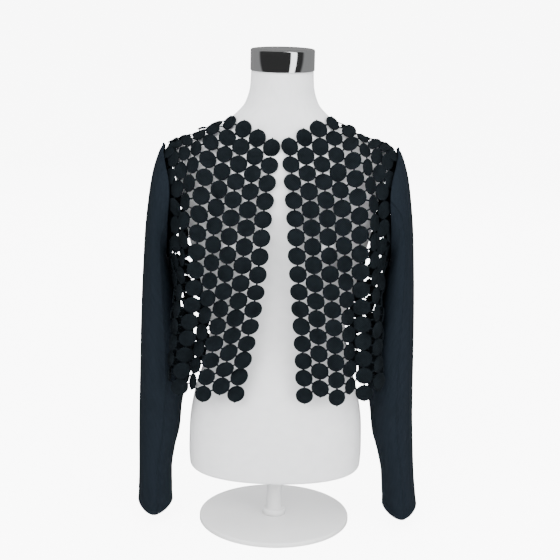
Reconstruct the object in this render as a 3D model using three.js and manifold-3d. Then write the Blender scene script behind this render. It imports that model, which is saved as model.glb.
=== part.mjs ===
// A cropped open-front cardigan on a white dress form with a metal neck cap and a low stand.
//
// The body is three panels of cutwork: thick round dots in a close honeycomb, each joined to its
// six neighbours. The sleeves are plain knit, cut in two pieces with a front and a back seam.
// The floor is Z = 0, the front faces -Y, and left and right are the wearer's own.
import * as THREE from "three";
import { mergeVertices } from "three/addons/utils/BufferGeometryUtils.js";
import Module from "manifold-3d";

const wasm = await Module();
wasm.setup();

// Driving sizes, in millimetres.
const STAND_HEIGHT = 96; // floor to the flat underside of the form; tables below count from there
const DOT_PITCH = 28.6; // from one dot to the next
const DOT_RADIUS = 13.1;
const DOT_THICKNESS = 2.4;
const WEB_THICKNESS = 1; // the wall between three dots
const KNIT_THICKNESS = 1.5;
const SEAM_GAP = 0.3;
const JOIN_HALF_WIDTH = 2.7; // half the width of the join between two dots
const FREE_HALF_WIDTH = 3.5; // half of each flat of a dot's rim where it is free

const COLUMN_STEP = (DOT_PITCH * Math.sqrt(3)) / 2;
const HALF_PITCH = DOT_PITCH / 2;
const SIDE_COLUMN = 8; // the last whole column before the side seam
const SIDE_SEAM = (SIDE_COLUMN + 0.5) * COLUMN_STEP;
const HEM_ROW = 156; // height of the centres of the lowest dots
const NECK_ROW = 28; // the first column's top dot at the front, in half pitches above the lowest
const BACK_NECK_ROW = 28;
const NECK_COLUMN = 4; // from this column on the dots run up to the shoulder seam
const SHOULDER_CUT_FROM = 470;
const CHEST = 455; // above this height the columns lean in towards the neck
const UNDERARM = 348;
const FRONT_LEAN = { least: 0.095, perMillimetre: 0.00045 };
const BACK_LEAN = { least: 0, perMillimetre: 0.0004 };

// The form: horizontal sections, each a rounded oblong. middle is the Y of its widest point.
const FORM_SECTIONS = [
  { height: 0, halfWidth: 141, front: 98, back: 96, middle: 0, square: 2.2 },
  { height: 30, halfWidth: 143, front: 101, back: 98, middle: 0, square: 2.2 },
  { height: 75, halfWidth: 142, front: 102, back: 98, middle: 0, square: 2.2 },
  { height: 130, halfWidth: 134, front: 98, back: 92, middle: 0, square: 2.2 },
  { height: 185, halfWidth: 118, front: 90, back: 82, middle: 0, square: 2.2 },
  { height: 235, halfWidth: 110, front: 84, back: 76, middle: 0, square: 2.2 },
  { height: 300, halfWidth: 122, front: 92, back: 84, middle: 0, square: 2.2 },
  { height: 394, halfWidth: 146, front: 103, back: 96, middle: 0, square: 2.2 },
  { height: 455, halfWidth: 158, front: 98, back: 99, middle: 0, square: 2.2 },
  { height: 495, halfWidth: 170, front: 84, back: 94, middle: 0, square: 2.1 },
  { height: 521, halfWidth: 176, front: 73, back: 86, middle: 0, square: 1.9 },
  { height: 532, halfWidth: 171, front: 68, back: 80, middle: 0, square: 1.7 },
  { height: 547.5, halfWidth: 137, front: 64, back: 74, middle: 0, square: 1.65 },
  { height: 563.5, halfWidth: 102, front: 61, back: 68, middle: 0, square: 1.7 },
  { height: 582, halfWidth: 77, front: 58, back: 61, middle: 0, square: 1.9 },
  { height: 605, halfWidth: 57, front: 52, back: 51, middle: 0, square: 2 },
  { height: 632, halfWidth: 50, front: 49, back: 49, middle: 0, square: 2 },
  { height: 655, halfWidth: 49, front: 49, back: 49, middle: 0, square: 2 },
];
const BUST = { height: 392, across: 78, out: 28, spreadX: 34, spreadZ: 42 };

// The inside of the cloth round the body, from the hem to above the neckline. nick is how far the
// hanging sleeve presses the side in. From the armhole up the widths are those of the shoulder line,
// and the armhole is cut out of them.
const BODY_SECTIONS = [
  { height: 120, halfWidth: 172, front: 121, back: 104, middle: -14, square: 2.5, nick: 30 },
  { height: 156, halfWidth: 172, front: 121, back: 103, middle: -14, square: 2.5, nick: 30 },
  { height: 240, halfWidth: 172, front: 124, back: 102, middle: -12, square: 2.45, nick: 25 },
  { height: 310, halfWidth: 172, front: 127, back: 102, middle: -8, square: 2.4, nick: 14 },
  { height: 348, halfWidth: 173, front: 129, back: 103, middle: -4, square: 2.35, nick: 4 },
  { height: 394, halfWidth: 181, front: 129, back: 105, middle: 0, square: 2.3, nick: 0 },
  { height: 455, halfWidth: 189, front: 107, back: 105, middle: 0, square: 2.25, nick: 0 },
  { height: 495, halfWidth: 188, front: 89, back: 99, middle: 0, square: 2.1, nick: 0 },
  { height: 520, halfWidth: 185, front: 76, back: 89, middle: 0, square: 1.9, nick: 0 },
  { height: 533, halfWidth: 178, front: 70, back: 82, middle: 0, square: 1.7, nick: 0 },
  { height: 549, halfWidth: 139, front: 66, back: 76, middle: 0, square: 1.65, nick: 0 },
  { height: 565, halfWidth: 104, front: 63, back: 70, middle: 0, square: 1.7, nick: 0 },
  { height: 585, halfWidth: 79, front: 60, back: 63, middle: 0, square: 1.9, nick: 0 },
  { height: 612, halfWidth: 62, front: 56, back: 55, middle: 0, square: 2, nick: 0 },
  { height: 650, halfWidth: 55, front: 53, back: 53, middle: 0, square: 2, nick: 0 },
];

const NICK_DEPTH = 78; // how far from the middle of the side the nick reaches, to front and back

// How far from the middle the first column of dots hangs, on each side, as the fronts swing open.
const FRONT_EDGES = [
  { height: 120, left: 46, right: 68 },
  { height: 156, left: 45, right: 64 },
  { height: 240, left: 40, right: 48 },
  { height: 320, left: 33, right: 35 },
  { height: 394, left: 27, right: 28 },
  { height: 455, left: 22.5, right: 23.5 },
  { height: 520, left: 14.4, right: 14.4 },
  { height: 650, left: 14.4, right: 14.4 },
];

// Folds of the cutwork. across is in columns from the front edge, or from the middle of the back,
// at the fold's top and foot; from and to are rows of dots up from the hem; out is its height.
const FRONT_FOLDS = [
  { top: 4.2, foot: 4.8, width: 0.6, from: 3, to: 17, out: 10 },
  { top: 1.3, foot: 1.2, width: 0.8, from: -1, to: 7.5, out: 6 },
  { top: 3.4, foot: 3.3, width: 0.8, from: -1, to: 8.5, out: 7 },
  { top: 5.4, foot: 5.6, width: 0.9, from: -1, to: 7, out: 7 },
];
const BACK_FOLDS = [
  { top: 1.0, foot: 1.1, width: 1.0, from: -1, to: 8, out: 6 },
  { top: 3.4, foot: 3.6, width: 0.9, from: -1, to: 7, out: 6.5 },
  { top: 5.6, foot: 5.9, width: 0.9, from: -1, to: 8, out: 5.5 },
  { top: 5.2, foot: 5.6, width: 0.9, from: 7, to: 15, out: 5 },
];

// The armhole, an upright egg seen from the side. taper is how much narrower it is at its top.
const ARMHOLE = { middle: 441, halfHeight: 92, front: 54, back: 56, square: 2.05, taper: 0.55 };

// Sleeve sections seen from the front: inner is the point next to the body and outer the one away
// from it; depth is half the size from front to back; middle is the Y of the section's centre.
const SLEEVE_SECTIONS = [
  { innerX: 180.0, innerZ: 350, outerX: 188, outerZ: 539, depth: 62, middle: 1, square: 2.1 },
  { innerX: 180.0, innerZ: 349, outerX: 195, outerZ: 520, depth: 64, middle: 1, square: 2.15 },
  { innerX: 180.5, innerZ: 347, outerX: 202, outerZ: 494, depth: 65, middle: 1, square: 2.2 },
  { innerX: 181.0, innerZ: 342, outerX: 208, outerZ: 450, depth: 66, middle: 1, square: 2.3 },
  { innerX: 179.0, innerZ: 332, outerX: 213, outerZ: 402, depth: 64, middle: 0, square: 2.4 },
  { innerX: 173.5, innerZ: 314, outerX: 216.5, outerZ: 346, depth: 61, middle: 0, square: 2.35 },
  { innerX: 166.5, innerZ: 276, outerX: 219.5, outerZ: 290, depth: 59, middle: 0, square: 2.3 },
  { innerX: 157.0, innerZ: 215, outerX: 222, outerZ: 220, depth: 57, middle: -1, square: 2.25 },
  { innerX: 152.0, innerZ: 156, outerX: 223, outerZ: 160, depth: 55, middle: -2, square: 2.2 },
  { innerX: 153.0, innerZ: 130, outerX: 223.5, outerZ: 132, depth: 54, middle: -3, square: 2.1 },
  { innerX: 157.0, innerZ: 102, outerX: 224, outerZ: 104, depth: 48, middle: -3, square: 2.0 },
  { innerX: 160.0, innerZ: 66, outerX: 224, outerZ: 68, depth: 44, middle: -4, square: 2.0 },
  { innerX: 168.0, innerZ: 30, outerX: 224.5, outerZ: 31, depth: 41, middle: -5, square: 1.9 },
  { innerX: 173.0, innerZ: -8, outerX: 225, outerZ: -8, depth: 39, middle: -6, square: 1.8 },
  { innerX: 172.5, innerZ: -40, outerX: 226, outerZ: -40, depth: 38, middle: -7, square: 1.7 },
  { innerX: 171.0, innerZ: -63, outerX: 227.5, outerZ: -62, depth: 38, middle: -8, square: 1.6 },
];
const CUFF_DIP = 15; // how much lower the cuff's front edge hangs than its sides
const SLEEVES = [
  { name: "left", side: 1, swing: 11, frontSeam: 80 },
  { name: "right", side: -1, swing: 0, frontSeam: 104 },
];
const BACK_SEAM = 262; // seams are angles round the sleeve from its outer edge, through the front
const SWING_START = 110; // below this height a sleeve swings out to its cuff
const HEAD_SECTIONS = 3; // how many sections the sleeve head takes to leave the armhole
const HEAD_CLEARANCE = 5.2; // from the cloth's inside to the sleeve's edge over it

const NECK_TOP = FORM_SECTIONS.at(-1).height;
const CAP = { radius: 50.5, height: 33, edge: 3 };
const POLE_RADIUS = 12.5;
const PLATE = { radius: 125, thickness: 8, edge: 1.5 };

// How finely the plain pieces are divided.
const SLEEVE_RINGS = 18;
const SLEEVE_SEGMENTS = 10;
const FORM_RINGS = 21;
const FORM_SEGMENTS = 32;
const CAP_SEGMENTS = 32;
const PLATE_SEGMENTS = 40;
const POLE_SEGMENTS = 20;

// Colours, as roughly seen.
const COLOURS = {
  cutwork: { color: 0x1b1d20, roughness: 0.95, metalness: 0 },
  knit: { color: 0x1a222b, roughness: 0.85, metalness: 0 },
  jersey: { color: 0xe9e9e8, roughness: 0.9, metalness: 0 },
  chrome: { color: 0xc8cccd, roughness: 0.08, metalness: 1 },
  enamel: { color: 0xf2f2f1, roughness: 0.35, metalness: 0 },
};

// A row of the table at any height, through its rows on a smooth curve that never overshoots.
function rowAt(table, key, at) {
  const order = table[0][key] < table.at(-1)[key] ? table : [...table].reverse();
  const keys = order.map((row) => row[key]);
  const t = Math.min(Math.max(at, keys[0]), keys.at(-1));
  let i = 0;
  while (i < keys.length - 2 && t > keys[i + 1]) i += 1;
  const span = keys[i + 1] - keys[i];
  const s = (t - keys[i]) / span;
  const row = {};
  for (const column of Object.keys(order[0])) {
    const slope = (k) => (order[k + 1][column] - order[k][column]) / (keys[k + 1] - keys[k]);
    const tangent = (k) => {
      if (k === 0) return slope(0);
      if (k === keys.length - 1) return slope(k - 1);
      const [before, after] = [slope(k - 1), slope(k)];
      return before * after <= 0 ? 0 : (2 * before * after) / (before + after);
    };
    const [a, b] = [order[i][column], order[i + 1][column]];
    const [ta, tb] = [tangent(i) * span, tangent(i + 1) * span];
    const cubic = (2 * s - 3) * s * s;
    row[column] = a * (cubic + 1) - b * cubic + ta * s * (1 - s) ** 2 + tb * s * s * (s - 1);
  }
  return row;
}

const power = (value, exponent) => Math.sign(value) * Math.abs(value) ** exponent;

// A point of a section: angle 0 is the middle of the front, a quarter turn the side, a half the back.
function sectionPoint(row, angle) {
  const forward = power(Math.cos(angle), 2 / row.square);
  const depth = forward > 0 ? row.front + row.middle : row.back - row.middle;
  const y = row.middle - depth * forward;
  const out = power(Math.sin(angle), 2 / row.square);
  const pressed = (row.nick ?? 0) * Math.max(0, 1 - Math.abs(y / NICK_DEPTH) ** 3) ** 2;
  return { x: (row.halfWidth - pressed) * out, y };
}

// Lengths round half a section from the middle of the front, to find a point by its length.
const ARC_STEPS = 120;
const arcs = new Map();
function arcAt(height) {
  if (!arcs.has(height)) {
    const row = rowAt(BODY_SECTIONS, "height", height);
    const points = Array.from({ length: ARC_STEPS + 1 }, (_, i) =>
      sectionPoint(row, (Math.PI * i) / ARC_STEPS),
    );
    const lengths = [0];
    for (let i = 1; i <= ARC_STEPS; i += 1) {
      const [p, q] = [points[i - 1], points[i]];
      lengths.push(lengths[i - 1] + Math.hypot(q.x - p.x, q.y - p.y));
    }
    arcs.set(height, { points, lengths, total: lengths.at(-1) });
  }
  return arcs.get(height);
}

// Where a rising list of keys reaches a value: the step before it and the share of that step.
function locate(keys, value) {
  let [low, high] = [0, keys.length - 2];
  while (low < high) {
    const mid = (low + high + 1) >> 1;
    if (keys[mid] <= value) low = mid;
    else high = mid - 1;
  }
  return { step: low, share: (value - keys[low]) / (keys[low + 1] - keys[low]) };
}

function pointAtLength(arc, length) {
  const mirrored = length < 0;
  const { step, share } = locate(arc.lengths, Math.abs(length));
  const [p, q] = [arc.points[step], arc.points[step + 1]];
  const x = p.x + (q.x - p.x) * share;
  return { x: mirrored ? -x : x, y: p.y + (q.y - p.y) * share };
}

// The share by which the back is eased in so that its edge meets the front at the side seam.
function backEase(side, height) {
  const at = Math.min(height, UNDERARM);
  const edge = rowAt(FRONT_EDGES, "height", at)[side > 0 ? "left" : "right"];
  return (arcAt(at).total - edge - SIDE_SEAM) / SIDE_SEAM;
}

const onShell = (row, x, facing) => {
  const inside = Math.max(0, 1 - Math.abs(x / row.halfWidth) ** row.square);
  const depth = facing < 0 ? row.front + row.middle : row.back - row.middle;
  return row.middle + facing * depth * inside ** (1 / row.square);
};

// One upright line of the cloth, from under the hem up its face and over the shoulder. facing is -1
// on the fronts and 1 on the back; u is the flat distance from the front edge or the back's middle.
const LINE_STEP = 7;
const CREST_STEPS = 26;
const OVER_STEPS = 9;
const lines = new Map();
function lineAt(side, facing, u) {
  const key = `${side} ${facing} ${u.toFixed(4)}`;
  if (lines.has(key)) return lines.get(key);
  const points = [];
  const edgeName = side > 0 ? "left" : "right";
  const outward = facing > 0 ? Math.sign(u) || 1 : side;
  const lower = (height) => {
    const arc = arcAt(height);
    if (facing > 0) {
      const p = pointAtLength(arc, arc.total - Math.abs(u) * backEase(outward, height));
      return { x: outward * p.x, y: p.y };
    }
    const p = pointAtLength(arc, rowAt(FRONT_EDGES, "height", height)[edgeName] + u);
    return { x: side * p.x, y: p.y };
  };
  const first = BODY_SECTIONS[0].height;
  const count = Math.round((CHEST - first) / LINE_STEP);
  for (let i = 0; i < count; i += 1) {
    const height = first + ((CHEST - first) * i) / count;
    points.push({ ...lower(height), z: height });
  }
  const start = lower(CHEST);
  const { least, perMillimetre } = facing > 0 ? BACK_LEAN : FRONT_LEAN;
  const lean = least + perMillimetre * Math.abs(start.x);
  const across = (height) => Math.abs(start.x) - lean * (height - CHEST);
  let [low, high] = [CHEST, BODY_SECTIONS.at(-1).height];
  for (let i = 0; i < 30; i += 1) {
    const mid = (low + high) / 2;
    if (rowAt(BODY_SECTIONS, "height", mid).halfWidth > across(mid)) low = mid;
    else high = mid;
  }
  const crest = low;
  for (let i = 0; i <= CREST_STEPS + OVER_STEPS; i += 1) {
    const t = 1 - i / CREST_STEPS;
    const height = crest - (crest - CHEST) * t * t;
    const x = across(t > 0 ? height : crest);
    const row = rowAt(BODY_SECTIONS, "height", height);
    points.push({ x: x * Math.sign(start.x || 1), y: onShell(row, x, t > 0 ? facing : -facing), z: height });
  }
  const lengths = [0];
  for (let i = 1; i < points.length; i += 1) {
    const [p, q] = [points[i - 1], points[i]];
    lengths.push(lengths[i - 1] + Math.hypot(q.x - p.x, q.y - p.y, q.z - p.z));
  }
  const hem = locate(points.map((p) => p.z).slice(0, count), HEM_ROW);
  const zero = lengths[hem.step] + (lengths[hem.step + 1] - lengths[hem.step]) * hem.share;
  const crestAt = lengths[count + CREST_STEPS] - zero;
  const line = { points, lengths: lengths.map((length) => length - zero), crest: crestAt };
  lines.set(key, line);
  return line;
}

function plainPoint(panel, u, v) {
  const line = lineAt(panel.side, panel.facing, u);
  const { step, share } = locate(line.lengths, v);
  const [p, q] = [line.points[step], line.points[step + 1]];
  return new THREE.Vector3(p.x, p.y, p.z).lerp(new THREE.Vector3(q.x, q.y, q.z), share);
}

// The outward direction of a surface, from points a little to each side.
const PROBE = 2;
function outwardOf(surface, panel, u, v) {
  const across = surface(panel, u + PROBE, v).sub(surface(panel, u - PROBE, v));
  const up = surface(panel, u, v + PROBE).sub(surface(panel, u, v - PROBE));
  return across.cross(up).multiplyScalar(panel.turn).normalize();
}

const hump = (distance) => (Math.abs(distance) < 1 ? Math.cos((Math.PI / 2) * distance) ** 2 : 0);

function foldHeight(panel, u, v) {
  const [column, row] = [Math.abs(u) / COLUMN_STEP, v / DOT_PITCH];
  let total = 0;
  for (const fold of panel.folds) {
    const along = (row - fold.from) / (fold.to - fold.from);
    if (along <= 0 || along >= 1) continue;
    const centre = fold.foot + (fold.top - fold.foot) * along;
    const reachesHem = fold.from < 0;
    const fade = reachesHem ? Math.cos((Math.PI / 2) * along) ** 1.2 : Math.sin(Math.PI * along) ** 0.7;
    total += fold.out * fade * hump((column - centre) / (2 * fold.width));
  }
  return total;
}

function foldedPoint(panel, u, v) {
  const out = foldHeight(panel, u, v);
  const point = plainPoint(panel, u, v);
  return out === 0 ? point : point.addScaledVector(outwardOf(plainPoint, panel, u, v), out);
}

// A flat place on the panel, w above the cloth's inside, as a point of the worn garment.
function clothPoint(panel, [u, v], w) {
  return foldedPoint(panel, u, v).addScaledVector(outwardOf(foldedPoint, panel, u, v), w);
}

// The six neighbours of a dot, in turn from the upper right; rows are counted in half pitches.
const NEIGHBOURS = [
  [1, 1],
  [0, 2],
  [-1, 1],
  [-1, -1],
  [0, -2],
  [1, -1],
];

// The two flat corners where a dot meets the neighbour in that direction, or its own rim.
function joinCorners(dot, direction, distance, halfWidth) {
  const angle = Math.PI / 6 + (Math.PI / 3) * direction;
  const [c, s] = [Math.cos(angle), Math.sin(angle)];
  const [u, v] = [dot.column * COLUMN_STEP, dot.row * HALF_PITCH];
  return [-halfWidth, halfWidth].map((t) => [u + distance * c - t * s, v + distance * s + t * c]);
}

const dotKey = (column, row) => `${column} ${row}`;

// A panel of joined dots as one closed wall: flat raised dots with a dimple between each three, over
// a plain inside. Free edges follow the dots' own rims.
function dotWall(panel) {
  const dots = new Map(panel.dots.map((dot) => [dotKey(dot.column, dot.row), dot]));
  const triangles = [];
  const face = (points) => {
    for (let i = 1; i < points.length - 1; i += 1) triangles.push([points[0], points[i], points[i + 1]]);
  };
  const middle = ([a, b]) => [(a[0] + b[0]) / 2, (a[1] + b[1]) / 2];
  for (const dot of dots.values()) {
    const joins = NEIGHBOURS.map(([column, row], direction) => {
      const met = dots.get(dotKey(dot.column + column, dot.row + row));
      const atSeam = !met && Math.abs(dot.column + column) > SIDE_COLUMN;
      const distance = met ? HALF_PITCH : atSeam ? HALF_PITCH - SEAM_GAP / 2 : DOT_RADIUS;
      const halfWidth = met || atSeam ? JOIN_HALF_WIDTH : FREE_HALF_WIDTH;
      return { met, corners: joinCorners(dot, direction, distance, halfWidth) };
    });
    const top = joins.flatMap((join) => join.corners).map((at) => clothPoint(panel, at, DOT_THICKNESS));
    const under = joins
      .map((join) => (join.met ? [middle(join.corners)] : join.corners))
      .map((list) => list.map((at) => clothPoint(panel, at, 0)));
    face(top);
    face(under.flat().reverse());
    joins.forEach((join, i) => {
      const next = (i + 1) % 6;
      if (!join.met) face([top[2 * i + 1], top[2 * i], ...under[i]]);
      if (!join.met || !joins[next].met) {
        face([top[2 * next], top[2 * i + 1], under[i].at(-1), under[next][0]]);
      } else if (i < 2) {
        triangles.push(...gapFaces(panel, dot, join.met, i));
      }
    });
  }
  return solidFrom(triangles, panel.turn < 0);
}

// The gap between a dot, its neighbour in a direction and the one in the next: a dimple outside and a
// plain face inside.
function gapFaces(panel, dot, neighbour, direction) {
  const [column, row] = NEIGHBOURS[direction + 1];
  const third = { column: dot.column + column, row: dot.row + row };
  const sides = [dot, neighbour, third].map((each, i) =>
    joinCorners(each, direction + 2 * i, HALF_PITCH, JOIN_HALF_WIDTH),
  );
  const corners = sides.map((pair) => pair[1]);
  const centre = [0, 1].map((k) => (corners[0][k] + corners[1][k] + corners[2][k]) / 3);
  const [a, b, c] = corners.map((at) => clothPoint(panel, at, DOT_THICKNESS));
  const dimple = clothPoint(panel, centre, WEB_THICKNESS);
  const inside = sides
    .map((pair) => [(pair[0][0] + pair[1][0]) / 2, (pair[0][1] + pair[1][1]) / 2])
    .map((at) => clothPoint(panel, at, 0));
  return [[a, b, dimple], [b, c, dimple], [c, a, dimple], inside.reverse()];
}

// One closed mesh from loose triangles, with its near-equal corners joined.
function solidFrom(triangles, inward = false) {
  const ordered = inward ? triangles.map(([a, b, c]) => [a, c, b]) : triangles;
  const loose = new THREE.BufferGeometry();
  const numbers = ordered.flatMap((corners) => corners.flatMap((p) => [p.x, p.y, p.z]));
  loose.setAttribute("position", new THREE.Float32BufferAttribute(numbers, 3));
  return mergeVertices(loose, 1e-3);
}

function manifoldOf(geometry) {
  const vertProperties = new Float32Array(geometry.attributes.position.array);
  const triVerts = new Uint32Array(geometry.index.array);
  return new wasm.Manifold(new wasm.Mesh({ numProp: 3, vertProperties, triVerts }));
}

function geometryOf(manifold) {
  const { vertProperties, triVerts } = manifold.getMesh();
  const geometry = new THREE.BufferGeometry();
  geometry.setAttribute("position", new THREE.BufferAttribute(vertProperties, 3));
  geometry.setIndex(new THREE.BufferAttribute(triVerts, 1));
  return geometry;
}

// What lies beyond the upright plane through the shoulder seams is cut off.
function cutAtShoulder(geometry, facing) {
  const [width, depth, height] = [600, 300, 300];
  const box = new THREE.BoxGeometry(width, depth, height);
  box.translate(0, -facing * (depth / 2 - SEAM_GAP / 2), SHOULDER_CUT_FROM + height / 2);
  const position = new THREE.BufferGeometry();
  position.setAttribute("position", box.attributes.position);
  position.setIndex(box.index);
  return geometryOf(manifoldOf(geometry).subtract(manifoldOf(mergeVertices(position))));
}

const insideArmhole = (point) => {
  const rise = (point.z - ARMHOLE.middle) / ARMHOLE.halfHeight;
  const depth = (point.y < 0 ? ARMHOLE.front : ARMHOLE.back) * (1 - ARMHOLE.taper * Math.max(0, rise) ** 2);
  const across = Math.abs(point.y / depth) ** ARMHOLE.square;
  return Math.abs(point.x) > 100 && across + Math.abs(rise) ** ARMHOLE.square < 1;
};

// The dots of a panel, column by column, up to its neckline or a little past the shoulder seam.
function panelDots(panel, firstColumn, topRow) {
  const dots = [];
  for (let column = firstColumn; column <= SIDE_COLUMN; column += 1) {
    const odd = Math.abs(column + panel.firstRow) % 2;
    const { crest } = lineAt(panel.side, panel.facing, column * COLUMN_STEP);
    const pastCrest = (crest + 0.8 * DOT_RADIUS) / HALF_PITCH;
    const last = Math.min(topRow(Math.abs(column)), pastCrest);
    for (let row = odd; row <= last; row += 2) {
      const point = plainPoint(panel, column * COLUMN_STEP, row * HALF_PITCH);
      if (insideArmhole(point)) continue;
      dots.push({ column, row });
    }
  }
  return dots;
}

// How far out the body's side lies at a depth and height, with the sleeve head's clearance from it.
function sideOfBody(y, z) {
  const side = (across, up) => {
    const row = rowAt(BODY_SECTIONS, "height", up);
    const depth = across < row.middle ? row.front + row.middle : row.back - row.middle;
    const share = Math.abs((across - row.middle) / depth) ** row.square;
    return row.halfWidth * Math.max(0.02, 1 - share) ** (1 / row.square);
  };
  const [slopeAcross, slopeUp] = [side(y + 1, z) - side(y - 1, z), side(y, z + 1) - side(y, z - 1)];
  return side(y, z) + HEAD_CLEARANCE * Math.hypot(1, slopeAcross / 2, slopeUp / 2);
}

// A sleeve's outer face: step counts its sections from the armhole down and angle goes round it, from
// the edge away from the body through the front. Its head is drawn in to the body at the armhole.
const sleeveTable = SLEEVE_SECTIONS.map((row, step) => ({ ...row, step }));
const LAST_SECTION = SLEEVE_SECTIONS.length - 1;
function sleevePoint(sleeve, step, angle) {
  const row = rowAt(sleeveTable, "step", step);
  const [out, forward] = [power(Math.cos(angle), 2 / row.square), power(Math.sin(angle), 2 / row.square)];
  const head = Math.max(0, 1 - step / HEAD_SECTIONS);
  let x = (row.innerX + row.outerX) / 2 + (out * (row.outerX - row.innerX)) / 2;
  const y = row.middle - row.depth * forward * (1 - ARMHOLE.taper * head * Math.max(0, out) ** 2);
  let z = (row.innerZ + row.outerZ) / 2 + (out * (row.outerZ - row.innerZ)) / 2;
  if (head > 0) {
    const armhole = sideOfBody(y, z);
    x += (armhole - x) * head ** 2;
  }
  const cuff = Math.max(0, (step - (LAST_SECTION - 2)) / 2);
  z -= CUFF_DIP * cuff * (forward > 0 ? forward : 0.3 * forward);
  const foot = SLEEVE_SECTIONS[LAST_SECTION].innerZ;
  const hanging = Math.max(0, (SWING_START - z) / (SWING_START - foot));
  x += sleeve.swing * hanging ** 1.5;
  return new THREE.Vector3(x, y, z);
}

// One piece of a sleeve between two seams, as a closed wall with open ends to the tube. Its edges
// stop short of the seams by half the gap.
function sleevePiece(sleeve, fromSeam, toSeam) {
  const rings = [];
  for (let i = 0; i <= SLEEVE_RINGS; i += 1) {
    const step = (LAST_SECTION * i) / SLEEVE_RINGS;
    const angles = Array.from(
      { length: SLEEVE_SEGMENTS + 1 },
      (_, k) => ((fromSeam + ((toSeam - fromSeam) * k) / SLEEVE_SEGMENTS) * Math.PI) / 180,
    );
    const outer = angles.map((angle) => sleevePoint(sleeve, step, angle));
    const downward = (angle) => {
      const [above, below] = [step - 0.3, step + 0.3].map((at) =>
        sleevePoint(sleeve, Math.min(Math.max(at, 0), LAST_SECTION), angle),
      );
      return below.sub(above).normalize();
    };
    // An edge moves square to its seam, whatever way the section crosses it.
    const inset = (edge, next) => {
      const [along, across] = [downward(angles[edge]), outer[next].clone().sub(outer[edge])];
      outer[edge].add(across.addScaledVector(along, -across.dot(along)).setLength(SEAM_GAP / 2));
    };
    inset(0, 1);
    inset(SLEEVE_SEGMENTS, SLEEVE_SEGMENTS - 1);
    const inner = outer.map((point, k) => {
      const [before, after] = [-0.08, 0.08].map((turn) => sleevePoint(sleeve, step, angles[k] + turn));
      const normal = after.sub(before).cross(downward(angles[k])).normalize();
      return point.clone().addScaledVector(normal, KNIT_THICKNESS);
    });
    rings.push([...outer, ...inner.reverse()]);
  }
  const triangles = [];
  const count = rings[0].length;
  for (let i = 0; i < SLEEVE_RINGS; i += 1) {
    for (let k = 0; k < count; k += 1) {
      const next = (k + 1) % count;
      const [a, b, c, d] = [rings[i][k], rings[i][next], rings[i + 1][next], rings[i + 1][k]];
      // The two faces of a seam are divided alike, so that they stay an even gap apart.
      if (k === SLEEVE_SEGMENTS) triangles.push([a, b, d], [b, c, d]);
      else triangles.push([a, b, c], [a, c, d]);
    }
  }
  for (let k = 0; k < SLEEVE_SEGMENTS; k += 1) {
    const [top, foot] = [rings[0], rings[SLEEVE_RINGS]];
    const quad = (ring) => [ring[k], ring[k + 1], ring[count - 2 - k], ring[count - 1 - k]];
    const [a, b, c, d] = quad(top);
    triangles.push([a, c, b], [a, d, c]);
    const [e, f, g, h] = quad(foot);
    triangles.push([e, f, g], [e, g, h]);
  }
  return mirrored(solidFrom(triangles, true), sleeve.side);
}

// The wearer's right is the left mirrored.
function mirrored(geometry, side) {
  if (side > 0) return geometry;
  geometry.scale(-1, 1, 1);
  const index = geometry.index.array;
  for (let i = 0; i < index.length; i += 3) [index[i + 1], index[i + 2]] = [index[i + 2], index[i + 1]];
  return geometry;
}

// The form: rings of its sections with the bust raised on them, closed by a flat face at each end.
function formBody() {
  const top = NECK_TOP;
  const heights = Array.from({ length: FORM_RINGS + 1 }, (_, i) => (top * i) / FORM_RINGS);
  const rings = heights.map((height) => {
    const row = rowAt(FORM_SECTIONS, "height", height);
    return Array.from({ length: FORM_SEGMENTS }, (_, k) => {
      const { x, y } = sectionPoint(row, (2 * Math.PI * k) / FORM_SEGMENTS);
      const spread = ((Math.abs(x) - BUST.across) / BUST.spreadX) ** 2;
      const rise = ((height - BUST.height) / BUST.spreadZ) ** 2;
      const out = y < row.middle ? BUST.out * Math.exp(-spread - rise) : 0;
      return new THREE.Vector3(x, y - out, height);
    });
  });
  return closedRings(rings);
}

// A solid through closed rings, each running anticlockwise seen from above, lowest first.
function closedRings(rings) {
  const triangles = [];
  const count = rings[0].length;
  for (let i = 0; i < rings.length - 1; i += 1) {
    for (let k = 0; k < count; k += 1) {
      const next = (k + 1) % count;
      const [a, b, c, d] = [rings[i][k], rings[i][next], rings[i + 1][next], rings[i + 1][k]];
      triangles.push([a, b, c], [a, c, d]);
    }
  }
  const [foot, top] = [rings[0], rings.at(-1)];
  for (let k = 1; k < count - 1; k += 1) {
    triangles.push([foot[0], foot[k + 1], foot[k]], [top[0], top[k], top[k + 1]]);
  }
  return solidFrom(triangles);
}

// A turned piece from rows of radius and height, lowest first.
function turned(profile, segments) {
  return closedRings(
    profile.map(({ radius, height }) =>
      Array.from({ length: segments }, (_, k) => {
        const angle = (2 * Math.PI * k) / segments;
        return new THREE.Vector3(radius * Math.cos(angle), radius * Math.sin(angle), height);
      }),
    ),
  );
}

const group = new THREE.Group();
group.name = "cardigan_on_dress_form";

function add(name, geometry, look) {
  geometry.translate(0, 0, STAND_HEIGHT);
  const faceted = geometry.toNonIndexed();
  faceted.computeVertexNormals();
  const mesh = new THREE.Mesh(faceted, new THREE.MeshStandardMaterial(look));
  mesh.name = name;
  group.add(mesh);
}

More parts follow.
